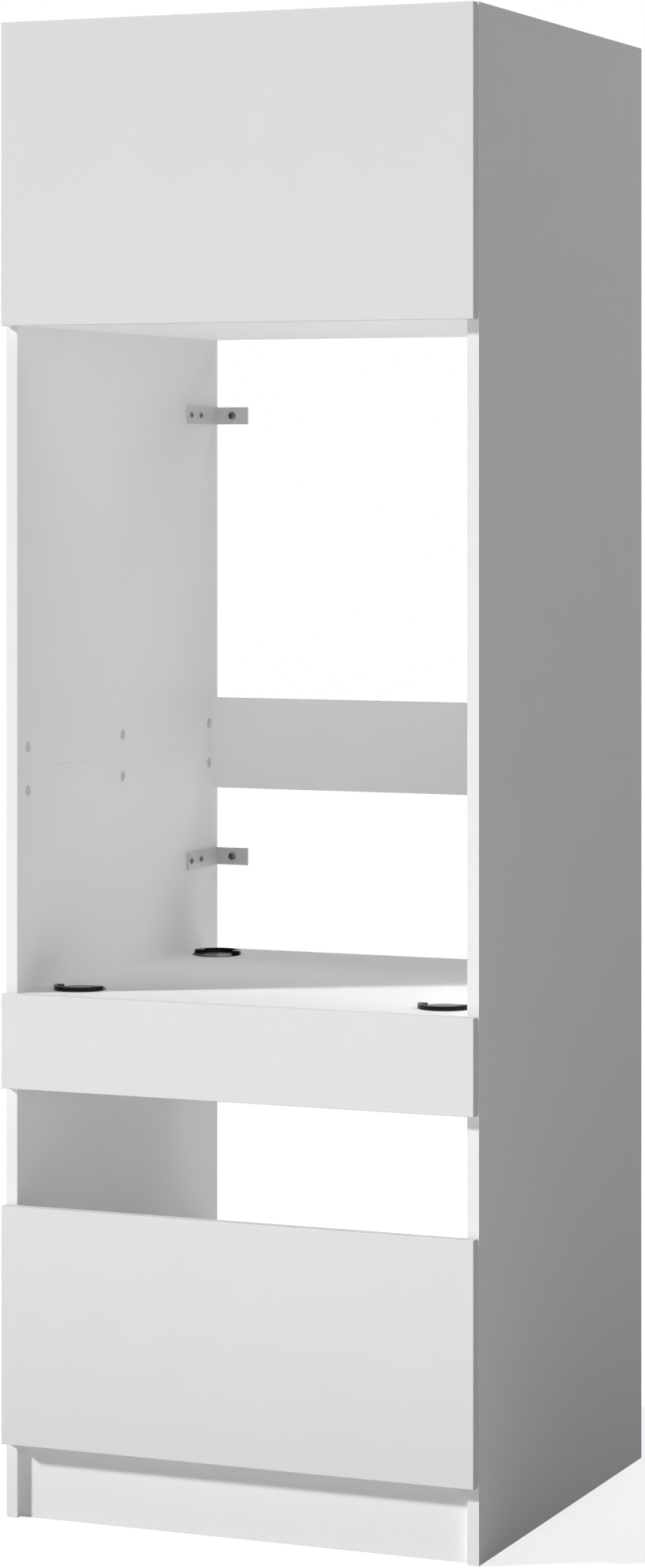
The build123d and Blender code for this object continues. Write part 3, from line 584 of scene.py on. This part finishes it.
class HOUSING_OT_runner_screws(bpy.types.Operator):
    """Model the flush screws of the runners, on the sides and on both drawer boxes"""

    bl_idname = "housing.runner_screws"
    bl_label = "Runner screws"

    def execute(self, context):
        sizes = context.scene.housing_screws
        screw = make_flat_screw("runner_side_screw", sizes.runner_head, RUNNER_SHEET, sizes.thin_shank,
                                sizes.runner_length)
        spots = [((side * (INNER_X - RUNNER_SHEET), y, z), (-side, 0, 0))
                 for side in SIDES for z in RUNNER_HEIGHTS.values() for y in RUNNER_SCREW_YS]
        set_screws(screw, spots, "carcass", "runner_side_screws")
        for name, z in RUNNER_HEIGHTS.items():
            screw = make_flat_screw(f"{name}_box_screw", sizes.runner_head, RUNNER_SHEET, sizes.thin_shank,
                                    sizes.runner_length)
            spots = [((side * (INNER_X - RUNNER_BOX_WEB), y, z), (side, 0, 0))
                     for side in SIDES for y in RUNNER_SCREW_YS]
            set_screws(screw, spots, name, f"{name}_box_screws")
        return {"FINISHED"}


class HOUSING_OT_stage(bpy.types.Operator):
    """Add the floor, the lamps, the world and the camera"""

    bl_idname = "housing.stage"
    bl_label = "Stage"

    def execute(self, context):
        scene = context.scene
        stage = scene.housing_stage
        scene.view_settings.view_transform = "Standard"
        add_floor()
        add_world(scene, stage)
        key = bpy.data.objects.new("key_lamp", bpy.data.lights.new("key_lamp", "SUN"))
        key.data.energy = stage.key_power
        key.data.angle = stage.key_spread
        key.rotation_euler = (math.radians(90) - stage.key_height, 0, -stage.key_turn)
        context.collection.objects.link(key)
        add_lamp("front_card", FRONT_CARD_PLACE, (0, 0, 1), FRONT_CARD_SIZE, stage.front_card_power)
        add_lamp("rear_card", REAR_CARD_PLACE, (0, 0, 1), REAR_CARD_SIZE, stage.rear_card_power)
        add_lamp("rear_board", REAR_BOARD_PLACE, (0, -1, 0), REAR_BOARD_SIZE, stage.rear_board_power)
        down = Vector(HIGH_LAMP_TARGET) - Vector(HIGH_LAMP_PLACE)
        add_lamp("high_lamp", HIGH_LAMP_PLACE, down, HIGH_LAMP_SIZE, stage.high_power)
        camera = bpy.data.objects.new("camera", bpy.data.cameras.new("camera"))
        camera.data.sensor_fit = "VERTICAL"
        camera.data.sensor_height = 36
        camera.data.lens = stage.lens
        camera.data.shift_y = stage.shift
        camera.location = stage.place
        camera.rotation_euler = (math.radians(90), 0, stage.turn)
        context.collection.objects.link(camera)
        scene.camera = camera
        return {"FINISHED"}


def seen_rays(tree):
    """One for the camera and for clear reflections, which see the white background, and zero for light."""
    path = tree.nodes.new("ShaderNodeLightPath")
    value = path.outputs["Is Camera Ray"]
    for kind in ("Is Glossy Ray", "Is Transmission Ray"):
        either = tree.nodes.new("ShaderNodeMath")
        either.operation = "MAXIMUM"
        tree.links.new(value, either.inputs[0])
        tree.links.new(path.outputs[kind], either.inputs[1])
        value = either.outputs["Value"]
    return value


def floor_material():
    """Pale to the light; to the camera white, with the shadow of the housing left faintly in it."""
    material, tree, shader = new_material("floor", (0.5, 0.5, 0.5), 0.8)
    glow = tree.nodes.new("ShaderNodeEmission")
    glow.inputs["Strength"].default_value = 0.75
    shade = tree.nodes.new("ShaderNodeBsdfDiffuse")
    shade.inputs["Color"].default_value = (0.5, 0.5, 0.5, 1)
    white = tree.nodes.new("ShaderNodeAddShader")
    tree.links.new(glow.outputs["Emission"], white.inputs[0])
    tree.links.new(shade.outputs["BSDF"], white.inputs[1])
    mix = tree.nodes.new("ShaderNodeMixShader")
    tree.links.new(seen_rays(tree), mix.inputs["Fac"])
    tree.links.new(shader.outputs["BSDF"], mix.inputs[1])
    tree.links.new(white.outputs["Shader"], mix.inputs[2])
    tree.links.new(mix.outputs["Shader"], tree.nodes["Material Output"].inputs["Surface"])
    return material


def add_floor():
    """A plain pale floor."""
    deselect_all()
    bpy.ops.mesh.primitive_plane_add(size=FLOOR_SIZE, location=(0, 0, -FLOOR_DROP))
    floor = bpy.context.object
    floor.name = "floor"
    bpy.ops.object.transform_apply(location=True)
    floor.data.materials.append(floor_material())


def add_lobe(tree, direction, tightness, strength):
    """Light that is strongest from one direction and falls off around it; returns its strength."""
    coordinates = tree.nodes.new("ShaderNodeTexCoord")
    share = tree.nodes.new("ShaderNodeVectorMath")
    share.operation = "DOT_PRODUCT"
    share.inputs[1].default_value = Vector(direction).normalized()
    tree.links.new(coordinates.outputs["Generated"], share.inputs[0])
    value = share.outputs["Value"]
    for operation, amount in (("MAXIMUM", 0), ("POWER", tightness), ("MULTIPLY", strength)):
        step = tree.nodes.new("ShaderNodeMath")
        step.operation = operation
        step.inputs[1].default_value = amount
        tree.links.new(value, step.inputs[0])
        value = step.outputs["Value"]
    return value


def add_world(scene, stage):
    """Pale light from the upper left and the front; the camera and clear reflections see plain white."""
    world = bpy.data.worlds.new("studio")
    world.use_nodes = True
    tree = world.node_tree
    light = tree.nodes["Background"]
    light.inputs["Color"].default_value = (1, 1, 1, 1)
    total = tree.nodes.new("ShaderNodeMath")
    tree.links.new(add_lobe(tree, LEFT_SKY, 5, stage.sky), total.inputs[0])
    tree.links.new(add_lobe(tree, FRONT_SKY, 6, stage.front_sky), total.inputs[1])
    tree.links.new(total.outputs["Value"], light.inputs["Strength"])
    seen = tree.nodes.new("ShaderNodeBackground")
    seen.inputs["Color"].default_value = (1, 1, 1, 1)
    mix = tree.nodes.new("ShaderNodeMixShader")
    tree.links.new(seen_rays(tree), mix.inputs["Fac"])
    tree.links.new(light.outputs["Background"], mix.inputs[1])
    tree.links.new(seen.outputs["Background"], mix.inputs[2])
    tree.links.new(mix.outputs["Shader"], tree.nodes["World Output"].inputs["Surface"])
    scene.world = world


def add_lamp(name, place, aim, size, power):
    """A rectangular area lamp that shines in the direction of its aim."""
    lamp = bpy.data.objects.new(name, bpy.data.lights.new(name, "AREA"))
    lamp.data.shape = "RECTANGLE"
    lamp.data.size, lamp.data.size_y = size
    lamp.data.energy = power
    lamp.location = place
    lamp.visible_camera = False
    lamp.rotation_euler = Vector(aim).to_track_quat("-Z", "Y").to_euler()
    bpy.context.collection.objects.link(lamp)


class HOUSING_PT_panel(bpy.types.Panel):
    """Lists the housing's operators and sizes"""

    bl_label = "Housing"
    bl_idname = "HOUSING_PT_panel"
    bl_space_type = "VIEW_3D"
    bl_region_type = "UI"
    bl_category = "Housing"

    def draw(self, context):
        for name in STEPS:
            self.layout.operator("housing." + name)
        scene = context.scene
        for group in (scene.housing_finish, scene.housing_screws, scene.housing_stage):
            for prop in group.__annotations__:
                self.layout.prop(group, prop)


STEPS = ("finishes", "wall_screws", "bracket_screws", "holder_screws", "hinge_screws", "runner_screws",
         "stage")
CLASSES = (HousingFinish, HousingScrews, HousingStage, HOUSING_OT_finishes, HOUSING_OT_wall_screws,
           HOUSING_OT_bracket_screws, HOUSING_OT_holder_screws, HOUSING_OT_hinge_screws,
           HOUSING_OT_runner_screws, HOUSING_OT_stage, HOUSING_PT_panel)


def register():
    for cls in CLASSES:
        bpy.utils.register_class(cls)
    bpy.types.Scene.housing_finish = PointerProperty(type=HousingFinish)
    bpy.types.Scene.housing_screws = PointerProperty(type=HousingScrews)
    bpy.types.Scene.housing_stage = PointerProperty(type=HousingStage)


def unregister():
    del bpy.types.Scene.housing_stage
    del bpy.types.Scene.housing_screws
    del bpy.types.Scene.housing_finish
    for cls in reversed(CLASSES):
        bpy.utils.unregister_class(cls)


def main():
    """Register the operators, then build every piece."""
    register()
    for name in STEPS:
        getattr(bpy.ops.housing, name)()


if __name__ == "__main__":
    main()
